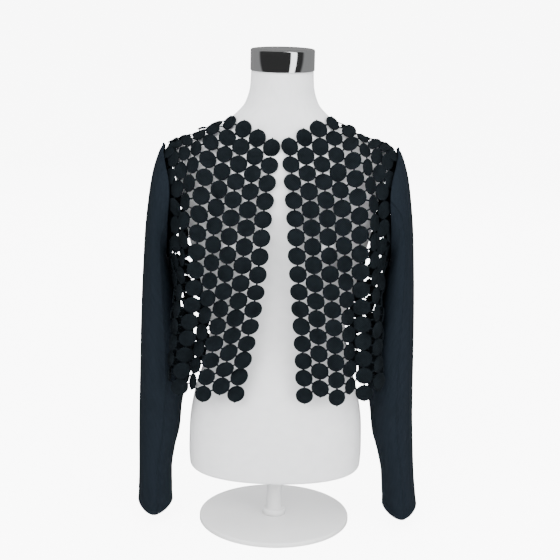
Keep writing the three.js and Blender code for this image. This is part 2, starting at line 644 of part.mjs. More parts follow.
const fronts = [
  { name: "front_left", side: 1, facing: -1, turn: 1, firstRow: 0, folds: FRONT_FOLDS },
  { name: "front_right", side: -1, facing: -1, turn: -1, firstRow: 0, folds: FRONT_FOLDS },
];
for (const panel of fronts) {
  panel.dots = panelDots(panel, 0, (column) => (column < NECK_COLUMN ? NECK_ROW + column : 99));
  add(panel.name, cutAtShoulder(dotWall(panel), panel.facing), COLOURS.cutwork);
}
const back = { name: "back", side: 1, facing: 1, turn: -1, firstRow: 1, folds: BACK_FOLDS };
back.dots = panelDots(back, -SIDE_COLUMN, (column) => (column < NECK_COLUMN ? BACK_NECK_ROW : 99));
add(back.name, cutAtShoulder(dotWall(back), back.facing), COLOURS.cutwork);

for (const sleeve of SLEEVES) {
  const { name, frontSeam } = sleeve;
  add(`sleeve_${name}_upper`, sleevePiece(sleeve, BACK_SEAM - 360, frontSeam), COLOURS.knit);
  add(`sleeve_${name}_under`, sleevePiece(sleeve, frontSeam, BACK_SEAM), COLOURS.knit);
}

add("form_torso", formBody(), COLOURS.jersey);

const capFoot = NECK_TOP;
add(
  "neck_cap",
  turned(
    [
      { radius: CAP.radius, height: capFoot },
      { radius: CAP.radius, height: capFoot + CAP.height - CAP.edge },
      { radius: CAP.radius - 0.3 * CAP.edge, height: capFoot + CAP.height - 0.3 * CAP.edge },
      { radius: CAP.radius - CAP.edge, height: capFoot + CAP.height },
    ],
    CAP_SEGMENTS,
  ),
  COLOURS.chrome,
);

add(
  "stand_plate",
  turned(
    [
      { radius: PLATE.radius, height: -STAND_HEIGHT },
      { radius: PLATE.radius, height: -STAND_HEIGHT + PLATE.thickness - PLATE.edge },
      { radius: PLATE.radius - PLATE.edge, height: -STAND_HEIGHT + PLATE.thickness },
    ],
    PLATE_SEGMENTS,
  ),
  COLOURS.enamel,
);
add(
  "stand_pole",
  turned(
    [
      { radius: POLE_RADIUS, height: -STAND_HEIGHT + PLATE.thickness },
      { radius: POLE_RADIUS, height: 0 },
    ],
    POLE_SEGMENTS,
  ),
  COLOURS.enamel,
);

export default group;
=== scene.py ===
import math

import bmesh
import bpy
import numpy as np
from mathutils import Matrix, Vector


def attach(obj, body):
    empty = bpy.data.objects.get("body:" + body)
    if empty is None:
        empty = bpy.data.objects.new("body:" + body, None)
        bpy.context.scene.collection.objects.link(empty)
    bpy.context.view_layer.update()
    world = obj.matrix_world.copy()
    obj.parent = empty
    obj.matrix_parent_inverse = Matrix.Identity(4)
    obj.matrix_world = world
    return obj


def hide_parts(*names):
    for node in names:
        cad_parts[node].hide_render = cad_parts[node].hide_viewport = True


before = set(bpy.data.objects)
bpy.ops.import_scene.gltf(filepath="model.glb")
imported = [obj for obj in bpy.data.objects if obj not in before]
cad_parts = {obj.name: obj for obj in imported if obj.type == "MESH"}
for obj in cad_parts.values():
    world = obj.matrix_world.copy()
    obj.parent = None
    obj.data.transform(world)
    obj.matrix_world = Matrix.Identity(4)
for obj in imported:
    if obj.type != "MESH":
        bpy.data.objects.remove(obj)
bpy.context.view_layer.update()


# Dress form: a padded torso and neck under smooth white jersey, with no arms, flat underneath.
# The jersey is one tube drawn over the padding and tucked in under the neck cap and the base.
MM = 0.001
STAND_HEIGHT = 96


def table(names, *rows):
    return dict(zip(names.split(), np.array(rows, float).T))


FORM = table(
    "height half_width front back middle square",
    (0, 141, 98, 96, 0, 2.2),
    (30, 143, 101, 98, 0, 2.2),
    (75, 142, 102, 98, 0, 2.2),
    (130, 134, 98, 92, 0, 2.2),
    (185, 118, 90, 82, 0, 2.2),
    (235, 110, 84, 76, 0, 2.2),
    (300, 122, 92, 84, 0, 2.2),
    (394, 146, 103, 96, 0, 2.2),
    (455, 158, 98, 99, 0, 2.2),
    (495, 170, 84, 94, 0, 2.1),
    (521, 176, 73, 86, 0, 1.9),
    (532, 171, 68, 80, 0, 1.7),
    (547.5, 137, 64, 74, 0, 1.65),
    (563.1, 101.6, 61, 68, 0, 1.7),
    (582, 77, 58, 61, 0, 1.9),
    (605, 57, 52, 51, 0, 2),
    (632, 50, 49, 49, 0, 2),
    (655, 49, 49, 49, 0, 2),
)
FORM_TOP = 655
FORM_RINGS = 150
FORM_SIDES = 144
FIRST_RING = 10
BUST = dict(height=392, across=78, out=28, spread_x=34, spread_z=42)
FORM_EDGE = 7
EDGE_RINGS = 7
MEAN_RADIUS = 110
NICK_DEPTH = 68


def read(rows, name, at):
    """A column of a table at any place along the table's first column, on a smooth curve."""
    keys, values = next(iter(rows.values())), rows[name]
    at = np.clip(np.asarray(at, float), keys[0], keys[-1])
    slopes = np.diff(values) / np.diff(keys)
    before, after = slopes[:-1], slopes[1:]
    turning = before * after <= 0
    inner = np.where(turning, 0, 2 * before * after / np.where(turning, 1, before + after))
    tangents = np.concatenate([slopes[:1], inner, slopes[-1:]])
    i = np.clip(np.searchsorted(keys, at, side="right") - 1, 0, len(keys) - 2)
    span = keys[i + 1] - keys[i]
    s = (at - keys[i]) / span
    cubic = (2 * s - 3) * s * s
    bend = tangents[i] * s * (1 - s) ** 2 + tangents[i + 1] * s * s * (s - 1)
    return values[i] * (cubic + 1) - values[i + 1] * cubic + bend * span


def power(value, exponent):
    return np.sign(value) * np.abs(value) ** exponent


def section(rows, height, angle):
    """Points of a rounded oblong: angle 0 is the middle of the front and a quarter turn the side."""
    row = {name: read(rows, name, height) for name in rows}
    forward = power(np.cos(angle), 2 / row["square"])
    depth = np.where(forward > 0, row["front"] + row["middle"], row["back"] - row["middle"])
    y = row["middle"] - depth * forward
    out = power(np.sin(angle), 2 / row["square"])
    pressed = row.get("nick", 0) * np.maximum(0, 1 - np.abs(y / NICK_DEPTH) ** 3) ** 2
    return (row["half_width"] - pressed) * out, y


def mesh_object(name, points, faces, cloth_places=None):
    """A smooth mesh from points in millimetres above the form's base, with its places on the cloth."""
    data = bpy.data.meshes.new(name)
    lifted = (np.asarray(points) + (0, 0, STAND_HEIGHT)) * MM
    data.from_pydata(lifted.tolist(), [], [list(map(int, face)) for face in faces])
    data.update()
    if cloth_places is not None:
        layer = data.uv_layers.new(name="cloth")
        loops = np.empty(len(data.loops), dtype=np.int32)
        data.loops.foreach_get("vertex_index", loops)
        layer.data.foreach_set("uv", (np.asarray(cloth_places)[loops] * MM).ravel())
    data.polygons.foreach_set("use_smooth", [True] * len(data.polygons))
    piece = bpy.data.objects.new(name, data)
    bpy.context.collection.objects.link(piece)
    return piece


def ring_faces(rings, count, first=0):
    """Quads that join closed rings of so many points each, lowest ring first."""
    i, k = np.meshgrid(np.arange(rings - 1), np.arange(count), indexing="ij")
    a, b = first + i * count + k, first + i * count + (k + 1) % count
    return np.stack([a, b, b + count, a + count], axis=-1).reshape(-1, 4)


def thread_lines():
    """Fine even lines along or across a cloth, as its yarns make, with a slow unevenness."""
    group = bpy.data.node_groups.new("thread_lines", "ShaderNodeTree")
    side = group.interface.new_socket
    side(name="Cloth Place", in_out="INPUT", socket_type="NodeSocketVector")
    for name, value in (("Lines Across", 1000.0), ("Lines Along", 0.0), ("Patch Scale", 80.0)):
        side(name=name, in_out="INPUT", socket_type="NodeSocketFloat").default_value = value
    side(name="Lines", in_out="OUTPUT", socket_type="NodeSocketFloat")
    side(name="Patches", in_out="OUTPUT", socket_type="NodeSocketFloat")
    nodes, link = group.nodes, group.links.new
    enter, leave = nodes.new("NodeGroupInput"), nodes.new("NodeGroupOutput")
    parts = nodes.new("ShaderNodeSeparateXYZ")
    link(enter.outputs["Cloth Place"], parts.inputs[0])

    def maths(operation, a, b=None, value=None):
        node = nodes.new("ShaderNodeMath")
        node.operation = operation
        link(a, node.inputs[0])
        if b is not None:
            link(b, node.inputs[1])
        elif value is not None:
            node.inputs[1].default_value = value
        return node.outputs[0]

    across = maths("MULTIPLY", parts.outputs["X"], enter.outputs["Lines Across"])
    along = maths("MULTIPLY", parts.outputs["Y"], enter.outputs["Lines Along"])
    noise = nodes.new("ShaderNodeTexNoise")
    noise.inputs["Detail"].default_value = 3.0
    link(enter.outputs["Cloth Place"], noise.inputs["Vector"])
    link(enter.outputs["Patch Scale"], noise.inputs["Scale"])
    wander = maths("MULTIPLY", noise.outputs[0], value=1.5)
    turn = maths("ADD", maths("ADD", across, along), wander)
    wave = maths("SINE", maths("MULTIPLY", turn, value=2 * math.pi))
    lines = nodes.new("ShaderNodeMapRange")
    lines.inputs["From Min"].default_value = -1.0
    link(wave, lines.inputs["Value"])
    link(lines.outputs[0], leave.inputs["Lines"])
    link(noise.outputs[0], leave.inputs["Patches"])
    return group


THREADS = thread_lines()
LINE_SHARE = 0.45
YARN_STRENGTH = 0.6
SHEEN_ROUGHNESS = 0.45


def cloth_material(name, dark, light, roughness, sheen, gloss, lines, patch_scale, bump):
    """Woven or knitted cloth: two tones of one colour in its lines and patches, raised by its yarns."""
    material = bpy.data.materials.new(name)
    material.use_nodes = True
    nodes, link = material.node_tree.nodes, material.node_tree.links.new
    shader = nodes["Principled BSDF"]
    place = nodes.new("ShaderNodeUVMap")
    place.uv_map = "cloth"
    threads = nodes.new("ShaderNodeGroup")
    threads.node_tree = THREADS
    threads.inputs["Lines Across"].default_value = lines[0]
    threads.inputs["Lines Along"].default_value = lines[1]
    threads.inputs["Patch Scale"].default_value = patch_scale
    link(place.outputs[0], threads.inputs["Cloth Place"])
    tone = nodes.new("ShaderNodeMath")
    tone.operation = "MULTIPLY_ADD"
    tone.inputs[1].default_value = LINE_SHARE
    tone.use_clamp = True
    link(threads.outputs["Lines"], tone.inputs[0])
    link(threads.outputs["Patches"], tone.inputs[2])
    shade = nodes.new("ShaderNodeMix")
    shade.data_type = "RGBA"
    shade.inputs["A"].default_value = (*dark, 1)
    shade.inputs["B"].default_value = (*light, 1)
    link(tone.outputs[0], shade.inputs["Factor"])
    link(shade.outputs["Result"], shader.inputs["Base Color"])
    raised = nodes.new("ShaderNodeBump")
    raised.inputs["Strength"].default_value = YARN_STRENGTH
    raised.inputs["Distance"].default_value = bump
    link(threads.outputs["Lines"], raised.inputs["Height"])
    link(raised.outputs[0], shader.inputs["Normal"])
    shader.inputs["Roughness"].default_value = roughness
    shader.inputs["Sheen Weight"].default_value = sheen
    shader.inputs["Sheen Roughness"].default_value = SHEEN_ROUGHNESS
    shader.inputs["Specular IOR Level"].default_value = gloss
    return material


def dress_form():
    edge = FORM_EDGE * (1 - np.cos(np.linspace(0, math.pi / 2, EDGE_RINGS)))
    heights = np.concatenate([edge, np.linspace(FIRST_RING, FORM_TOP, FORM_RINGS)])
    angles = np.linspace(0, 2 * math.pi, FORM_SIDES, endpoint=False)
    rings = []
    for height in heights:
        x, y = section(FORM, height, angles)
        spread = ((np.abs(x) - BUST["across"]) / BUST["spread_x"]) ** 2
        rise = ((height - BUST["height"]) / BUST["spread_z"]) ** 2
        y = y - np.where(y < 0, BUST["out"] * np.exp(-spread - rise), 0)
        inset = FORM_EDGE - math.sqrt(max(0, FORM_EDGE**2 - max(0, FORM_EDGE - height) ** 2))
        reach = np.hypot(x, y)
        x, y = x * (1 - inset / reach), y * (1 - inset / reach)
        rings.append(np.stack([x, y, np.full_like(x, height)], axis=-1))
    points = np.concatenate(rings)
    faces = [list(face) for face in ring_faces(len(heights), len(angles))]
    faces.append(list(range(len(angles)))[::-1])
    faces.append(list(range(len(points) - len(angles), len(points))))
    around = np.tile(angles * MEAN_RADIUS, len(heights))
    places = np.stack([around, points[:, 2]], axis=-1)
    return mesh_object("form_jersey", points, faces, places)


JERSEY = cloth_material(
    "white_jersey", dark=(0.72, 0.725, 0.735), light=(0.84, 0.845, 0.85), roughness=0.88, sheen=0.1,
    gloss=0.25, lines=(0.0, 900.0), patch_scale=60.0, bump=0.00012,
)
form = dress_form()
form.data.materials.append(JERSEY)
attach(form, "root")
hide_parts("form_torso")


# Neck cap: a spun steel cap, polished and chromed, with a rolled top rim. It sits over the end of
# the form's neck on two screws from inside.
CAP_FOOT = FORM_TOP
CAP_RADIUS = 50.5
CAP_HEIGHT = 33
CAP_ROLL = 2.4


def lathe(name, profile, segments=128):
    """A turned solid from (radius, height) points, from the axis round to the axis again."""
    angles = np.linspace(0, 2 * math.pi, segments, endpoint=False)
    inner = [(r, z) for r, z in profile if r > 0]
    points = [(r * math.cos(a), r * math.sin(a), z) for r, z in inner for a in angles]
    faces = [list(face) for face in ring_faces(len(inner), segments)]
    for ring, (r, z), turn in ((0, profile[0], -1), (len(inner) - 1, profile[-1], 1)):
        points.append((0, 0, z))
        for k in range(segments):
            a, b = ring * segments + k, ring * segments + (k + 1) % segments
            faces.append([a, b, len(points) - 1][::turn])
    return mesh_object(name, points, faces)


def rounded(radius, height, roll, steps=8):
    """The (radius, height) points of a rounded top rim that ends at this radius and height."""
    turns = np.linspace(0, math.pi / 2, steps)
    return [(radius - roll * (1 - math.cos(t)), height - roll * (1 - math.sin(t))) for t in turns]


def chrome_material():
    material = bpy.data.materials.new("polished_chrome")
    material.use_nodes = True
    nodes, link = material.node_tree.nodes, material.node_tree.links.new
    shader = nodes["Principled BSDF"]
    shader.inputs["Base Color"].default_value = (0.80, 0.81, 0.82, 1)
    shader.inputs["Metallic"].default_value = 1.0
    smears = nodes.new("ShaderNodeTexNoise")
    smears.inputs["Scale"].default_value = 60.0
    smears.inputs["Detail"].default_value = 4.0
    place = nodes.new("ShaderNodeTexCoord")
    link(place.outputs["Object"], smears.inputs["Vector"])
    polish = nodes.new("ShaderNodeMapRange")
    polish.inputs["To Min"].default_value = 0.03
    polish.inputs["To Max"].default_value = 0.11
    link(smears.outputs[0], polish.inputs["Value"])
    link(polish.outputs[0], shader.inputs["Roughness"])
    return material


cap_top = CAP_FOOT + CAP_HEIGHT
cap = lathe(
    "neck_cap_shell",
    [(0, CAP_FOOT), (CAP_RADIUS - 0.6, CAP_FOOT), (CAP_RADIUS, CAP_FOOT + 0.6)]
    + rounded(CAP_RADIUS, cap_top, CAP_ROLL)
    + [(CAP_RADIUS - 5, cap_top - 0.1), (CAP_RADIUS - 6.5, cap_top - 0.7), (0, cap_top - 0.9)],
)
cap.data.materials.append(chrome_material())
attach(cap, "root")
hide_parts("neck_cap")


# Stand: a round steel plate and a short tube, both enamelled white. The tube is screwed to the
# plate and pushed up into a socket in the form.
PLATE_RADIUS = 125
PLATE_THICKNESS = 8
POLE_RADIUS = 12.5
COLLAR = dict(radius=19, height=10)


def enamel_material():
    material = bpy.data.materials.new("white_enamel")
    material.use_nodes = True
    nodes, link = material.node_tree.nodes, material.node_tree.links.new
    shader = nodes["Principled BSDF"]
    shader.inputs["Roughness"].default_value = 0.38
    shader.inputs["Coat Weight"].default_value = 0.3
    shader.inputs["Coat Roughness"].default_value = 0.15
    place = nodes.new("ShaderNodeTexCoord")
    flow = nodes.new("ShaderNodeTexNoise")
    flow.inputs["Scale"].default_value = 18.0
    link(place.outputs["Object"], flow.inputs["Vector"])
    shade = nodes.new("ShaderNodeMix")
    shade.data_type = "RGBA"
    shade.inputs["A"].default_value = (0.80, 0.80, 0.79, 1)
    shade.inputs["B"].default_value = (0.86, 0.86, 0.86, 1)
    link(flow.outputs[0], shade.inputs["Factor"])
    link(shade.outputs["Result"], shader.inputs["Base Color"])
    peel = nodes.new("ShaderNodeTexNoise")
    peel.inputs["Scale"].default_value = 900.0
    link(place.outputs["Object"], peel.inputs["Vector"])
    raised = nodes.new("ShaderNodeBump")
    raised.inputs["Strength"].default_value = 0.15
    raised.inputs["Distance"].default_value = 0.0002
    link(peel.outputs[0], raised.inputs["Height"])
    link(raised.outputs[0], shader.inputs["Normal"])
    return material


ENAMEL = enamel_material()
plate_top = PLATE_THICKNESS - STAND_HEIGHT
plate = lathe(
    "stand_plate_enamel",
    [(0, -STAND_HEIGHT), (PLATE_RADIUS - 0.8, -STAND_HEIGHT), (PLATE_RADIUS, 0.8 - STAND_HEIGHT)]
    + rounded(PLATE_RADIUS, plate_top, 2.5)
    + [(0, plate_top)],
)
pole = lathe(
    "stand_pole_enamel",
    [(0, plate_top), (COLLAR["radius"], plate_top)]
    + rounded(COLLAR["radius"], plate_top + COLLAR["height"], 2)
    + [(POLE_RADIUS, plate_top + COLLAR["height"] + 0.4), (POLE_RADIUS, 0), (0, 0)],
)
for piece, node in ((plate, "stand_plate"), (pole, "stand_pole")):
    piece.data.materials.append(ENAMEL)
    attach(piece, "root")
    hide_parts(node)


# Fronts and back: round dots of felted twill in a close honeycomb, cut out as one cloth so that each
# dot keeps a short join to its six neighbours. The panels are whip-stitched dot to dot at the sides
# and cut straight along the shoulder seams; free edges follow the dots, with nubs of cut joins.
DOT_PITCH = 28.6
DOT_RADIUS = 13.8
DOT_THICKNESS = 2.2
JOIN_HALF_WIDTH = 1.3
SEAM_GAP = 0.3
COLUMN_STEP = DOT_PITCH * math.sqrt(3) / 2
HALF_PITCH = DOT_PITCH / 2
SIDE_COLUMN = 8
SIDE_SEAM = (SIDE_COLUMN + 0.5) * COLUMN_STEP
HEM_ROW = 159
HEM_LIFT = 10
LIFT_COLUMNS = (3.5, 8.5)
NECK_ROW = 28
BACK_NECK_ROW = 28
NECK_COLUMN = 4
SHOULDER_CUT_FROM = 470
CHEST = 455
UNDERARM = 348
LEAN = {"front": (0.095, 0.00045), "back": (0.0, 0.0004)}
ARC_POINTS = 121
STEPS_TO_CHEST = 48
CREST_STEP = 26
LAST_STEP_OVER = 36
HALVINGS = 30
ROW_LIMIT = 99

BODY = table(
    "height half_width front back middle square nick",
    (120, 172, 119, 104, -14, 3.0, 35),
    (156, 172, 119, 103, -14, 3.0, 35),
    (240, 172, 122, 102, -12, 2.9, 28),
    (310, 172, 126, 102, -8, 2.75, 14),
    (348, 174, 129, 103, -4, 2.55, 4),
    (394, 181, 129, 105, 0, 2.3, 0),
    (455, 189, 107, 105, 0, 2.25, 0),
    (495, 188, 89, 99, 0, 2.1, 0),
    (520, 185, 76, 89, 0, 1.9, 0),
    (533, 178, 70, 82, 0, 1.7, 0),
    (549, 139, 66, 76, 0, 1.65, 0),
    (565, 104, 63, 70, 0, 1.7, 0),
    (585, 79, 60, 63, 0, 1.9, 0),
    (612, 62, 56, 55, 0, 2, 0),
    (650, 55, 53, 53, 0, 2, 0),
)
FRONT_EDGES = table(
    "height left right",
    (120, 46, 68),
    (156, 45, 64),
    (240, 40, 48),
    (320, 33, 35),
    (394, 27, 28),
    (455, 22.5, 23.5),
    (520, 14.4, 14.4),
    (650, 14.4, 14.4),
)
FRONT_FOLDS = (
    dict(top=4.2, foot=4.8, width=0.6, first=3, last=17, out=10),
    dict(top=-0.5, foot=-0.6, width=0.7, first=-1, last=8, out=-13),
    dict(top=2.0, foot=1.9, width=0.7, first=-1, last=7.5, out=6),
    dict(top=3.5, foot=3.4, width=0.5, first=-1, last=9, out=-8),
    dict(top=4.9, foot=4.8, width=0.6, first=-1, last=6, out=8),
)
BACK_FOLDS = (
    dict(top=1.0, foot=1.1, width=1.0, first=-1, last=8, out=6),
    dict(top=3.4, foot=3.6, width=0.9, first=-1, last=7, out=6.5),
    dict(top=5.6, foot=5.9, width=0.9, first=-1, last=8, out=5.5),
    dict(top=5.2, foot=5.6, width=0.9, first=7, last=15, out=5),
)
ARMHOLE = dict(middle=441, half_height=92, front=54, back=56, square=2.05, taper=0.55, beyond=100)
arcs = {}


def arc_at(height):
    """Points and lengths round half the body at a height, from the middle of the front."""
    if height not in arcs:
        x, y = section(BODY, height, np.linspace(0, math.pi, ARC_POINTS))
        steps = np.hypot(np.diff(x), np.diff(y))
        arcs[height] = x, y, np.concatenate([[0], np.cumsum(steps)])
    return arcs[height]


def back_ease(side, height):
    low = min(height, UNDERARM)
    edge = float(read(FRONT_EDGES, "left" if side > 0 else "right", low))
    return (arc_at(low)[2][-1] - edge - SIDE_SEAM) / SIDE_SEAM


def on_shell(height, x, facing):
    row = {name: read(BODY, name, height) for name in BODY}
    inside = np.maximum(0, 1 - np.abs(x / row["half_width"]) ** row["square"])
    depth = np.where(facing < 0, row["front"] + row["middle"], row["back"] - row["middle"])
    return row["middle"] + facing * depth * inside ** (1 / row["square"])


def cloth_line(side, facing, u):
    """One upright line of the cloth from under the hem over the shoulder, with lengths from the hem."""
    outward = (np.sign(u) or 1) if facing > 0 else side
    rises = CHEST - BODY["height"][0]
    heights = BODY["height"][0] + rises * np.arange(STEPS_TO_CHEST + 1) / STEPS_TO_CHEST
    points = []
    for height in heights:
        x, y, lengths = arc_at(height)
        if facing > 0:
            at = lengths[-1] - abs(u) * back_ease(outward, height)
        else:
            at = float(read(FRONT_EDGES, "left" if side > 0 else "right", height)) + u
        points.append((outward * math.copysign(1, at) * np.interp(abs(at), lengths, x),
                       np.interp(abs(at), lengths, y), height))
    start = abs(points[-1][0])
    least, per_mm = LEAN["back" if facing > 0 else "front"]
    sign = math.copysign(1, points[-1][0])
    points.pop()

    def across(height):
        return start - (least + per_mm * start) * (height - CHEST)

    low, high = CHEST, BODY["height"][-1]
    for _ in range(HALVINGS):
        middle = (low + high) / 2
        wider = float(read(BODY, "half_width", middle)) > across(middle)
        low, high = (middle, high) if wider else (low, middle)
    t = 1 - np.arange(LAST_STEP_OVER) / CREST_STEP
    upper = low - (low - CHEST) * t * t
    x = across(np.where(t > 0, upper, low))
    y = on_shell(upper, x, np.where(t > 0, facing, -facing))
    line = np.concatenate([points, np.stack([sign * x, y, upper], axis=-1)])
    lengths = np.concatenate([[0], np.cumsum(np.linalg.norm(np.diff(line, axis=0), axis=1))])
    low_column, high_column = LIFT_COLUMNS
    share = np.clip((abs(u) / COLUMN_STEP - low_column) / (high_column - low_column), 0, 1)
    hem = HEM_ROW + HEM_LIFT * share * share * (3 - 2 * share)
    lengths -= np.interp(hem, heights[:-1], lengths[: len(heights) - 1])
    return line, lengths, lengths[len(heights) - 1 + CREST_STEP]


def fold_height(folds, u, v):
    column, row = np.abs(u) / COLUMN_STEP, v / DOT_PITCH
    total = np.zeros_like(row)
    for fold in folds:
        along = np.clip((row - fold["first"]) / (fold["last"] - fold["first"]), 0, 1)
        centre = fold["foot"] + (fold["top"] - fold["foot"]) * along
        if fold["first"] < 0:
            fade = np.cos(math.pi / 2 * along) ** 1.2 * (along > 0)
        else:
            fade = np.sin(math.pi * along) ** 0.7
        beside = np.clip((column - centre) / (2 * fold["width"]), -1, 1)
        total += fold["out"] * fade * np.cos(math.pi / 2 * beside) ** 2
    return total


class Cloth:
    """A panel's worn surface, sampled on an even grid of its flat places."""

    STEP = 3.0
    MARGIN = 18
    LOWEST, HIGHEST = -30, 500

    def __init__(self, side, facing, turn, folds):
        first = -(SIDE_SEAM + self.MARGIN) if facing > 0 else -self.MARGIN
        self.us = np.arange(first, SIDE_SEAM + self.MARGIN, self.STEP)
        self.vs = np.arange(self.LOWEST, self.HIGHEST, self.STEP)
        plain, self.crests = [], []
        for u in self.us:
            line, lengths, crest = cloth_line(side, facing, u)
            plain.append([np.interp(self.vs, lengths, line[:, k]) for k in range(3)])
            self.crests.append(crest)
        self.turn = turn
        self.plain = np.transpose(plain, (0, 2, 1))
        normals = self.normals(self.plain)
        out = fold_height(folds, *np.meshgrid(self.us, self.vs, indexing="ij"))
        self.worn = self.plain + normals * out[..., None]

    def normals(self, grid):
        across, up = np.gradient(grid, axis=0), np.gradient(grid, axis=1)
        found = np.cross(across, up) * self.turn
        return found / np.maximum(np.linalg.norm(found, axis=-1, keepdims=True), 1e-9)

    def at(self, grid, u, v):
        i = np.clip((u - self.us[0]) / self.STEP, 0, len(self.us) - 1.001)
        j = np.clip((v - self.vs[0]) / self.STEP, 0, len(self.vs) - 1.001)
        a, b = int(i), int(j)
        s, t = i - a, j - b
        low = grid[a, b] * (1 - s) + grid[a + 1, b] * s
        high = grid[a, b + 1] * (1 - s) + grid[a + 1, b + 1] * s
        return low * (1 - t) + high * t


def inside_armhole(point):
    rise = (point[2] - ARMHOLE["middle"]) / ARMHOLE["half_height"]
    depth = ARMHOLE["front"] if point[1] < 0 else ARMHOLE["back"]
    across = abs(point[1] / depth / (1 - ARMHOLE["taper"] * max(0, rise) ** 2)) ** ARMHOLE["square"]
    return abs(point[0]) > ARMHOLE["beyond"] and across + abs(rise) ** ARMHOLE["square"] < 1


CREST_REACH = 0.8


def panel_dots(cloth, first_column, first_row, top_row):
    dots = []
    for column in range(first_column, SIDE_COLUMN + 1):
        u = column * COLUMN_STEP
        crest = np.interp(u, cloth.us, cloth.crests)
        last = min(top_row(abs(column)), (crest + CREST_REACH * DOT_RADIUS) / HALF_PITCH)
        for row in range(abs(column + first_row) % 2, ROW_LIMIT, 2):
            if row > last:
                break
            if not inside_armhole(cloth.at(cloth.plain, u, row * HALF_PITCH)):
                dots.append((column, row))
    return dots


NEIGHBOURS = ((1, 1), (0, 2), (-1, 1), (-1, -1), (0, -2), (1, -1))
DOT_SEGMENTS = 36
SPREAD = 9.0
TILT = 0.11
LEAST_ACROSS = 0.93
LEAST_UP = 0.95
DOT_RIM = (
    (DOT_RADIUS - 0.7, DOT_THICKNESS),
    (DOT_RADIUS - 0.15, DOT_THICKNESS - 0.25),
    (DOT_RADIUS, DOT_THICKNESS - 0.8),
    (DOT_RADIUS, 0.6),
    (DOT_RADIUS - 0.5, 0.1),
)
DOT_CROWN = DOT_THICKNESS + 0.15
DOT_FOOT = 0.1
JOIN_INSET = 0.5
JOIN_ROOT = DOT_RADIUS - 1.2
NUB_LENGTH = (0.9, 1.9)
NUB_ROOT = 2.2
NUB_TIP = 0.6


def cutwork_panel(name, side, facing, turn, folds, first_column, first_row, top_row, seed):
    """The dots and joins of one panel as a mesh, cut straight where it meets the shoulder seam."""
    cloth = Cloth(side, facing, turn, folds)
    dots = panel_dots(cloth, first_column, first_row, top_row)
    chance = np.random.default_rng(seed)
    frames = {}
    for column, row in dots:
        u, v = column * COLUMN_STEP, row * HALF_PITCH
        sides = [cloth.at(cloth.worn, u + a * SPREAD, v + b * SPREAD)
                 for a, b in ((1, 0), (-1, 0), (0, 1), (0, -1))]
        centre = (cloth.at(cloth.worn, u, v) * 2 + sum(sides)) / 6
        across, up = (sides[0] - sides[1]) / (2 * SPREAD), (sides[2] - sides[3]) / (2 * SPREAD)
        across *= np.clip(np.linalg.norm(across), LEAST_ACROSS, 1.0) / np.linalg.norm(across)
        up *= np.clip(np.linalg.norm(up), LEAST_UP, 1.0) / np.linalg.norm(up)
        out = np.cross(across, up) * turn
        out /= np.linalg.norm(out)
        tilt = chance.normal(0, TILT, 2)
        across, up = across + out * tilt[0], up + out * tilt[1]
        out = np.cross(across, up) * turn
        frames[column, row] = centre, across, up, out / np.linalg.norm(out), (u, v)
    points, faces, places = [], [], []

    def place(dot, x, y, w):
        centre, across, up, out, (u, v) = frames[dot]
        points.append(centre + across * x + up * y + out * w)
        places.append((u + x, v + y))

    def face(*corners):
        faces.append(corners if turn > 0 else corners[::-1])

    angles = np.linspace(0, 2 * math.pi, DOT_SEGMENTS, endpoint=False)
    for dot in dots:
        first = len(points)
        for radius, height in DOT_RIM:
            for angle in angles:
                place(dot, radius * math.cos(angle), radius * math.sin(angle), height)
        place(dot, 0, 0, DOT_CROWN)
        place(dot, 0, 0, DOT_FOOT)
        count = DOT_SEGMENTS
        for k in range(count):
            after = (k + 1) % count
            for ring in range(len(DOT_RIM) - 1):
                a, b = first + ring * count, first + (ring + 1) * count
                face(b + k, b + after, a + after, a + k)
            face(first + k, first + after, first + len(DOT_RIM) * count)
            low = first + (len(DOT_RIM) - 1) * count
            face(low + after, low + k, first + len(DOT_RIM) * count + 1)

    def join(corners):
        """A closed block through four places on one dot and four on the same or another dot."""
        first = len(points)
        for dot, x, y in corners:
            for w in (JOIN_INSET, DOT_THICKNESS - JOIN_INSET):
                place(dot, x, y, w)
        a, b, c, d = (first + 2 * k for k in range(4))
        face(a + 1, b + 1, c + 1, d + 1)
        face(d, c, b, a)
        for p, q in ((a, b), (b, c), (c, d), (d, a)):
            face(p, q, q + 1, p + 1)

    present = set(dots)
    for column, row in dots:
        for direction, (across, up) in enumerate(NEIGHBOURS):
            turn_to = math.pi / 6 + math.pi / 3 * direction
            c, s = math.cos(turn_to), math.sin(turn_to)

            def corner(dot, reach, half, sign=1):
                return dot, sign * reach * c - half * s, sign * reach * s + half * c

            here, there = (column, row), (column + across, row + up)
            root = JOIN_ROOT
            if there in present:
                if direction < 3:
                    wide = JOIN_HALF_WIDTH
                    join([corner(here, root, -wide), corner(there, root, -wide, -1),
                          corner(there, root, wide, -1), corner(here, root, wide)])
            elif abs(there[0]) > SIDE_COLUMN:
                end, wide = HALF_PITCH - SEAM_GAP / 2, JOIN_HALF_WIDTH
                join([corner(here, root, -wide), corner(here, end, -wide),
                      corner(here, end, wide), corner(here, root, wide)])
            elif across == 0:
                end = DOT_RADIUS + chance.uniform(*NUB_LENGTH)
                join([corner(here, root, -NUB_ROOT), corner(here, end, -NUB_TIP),
                      corner(here, end, NUB_TIP), corner(here, root, NUB_ROOT)])
    piece = mesh_object(name, points, faces, places)
    cut_at_shoulder(piece, facing)
    return piece


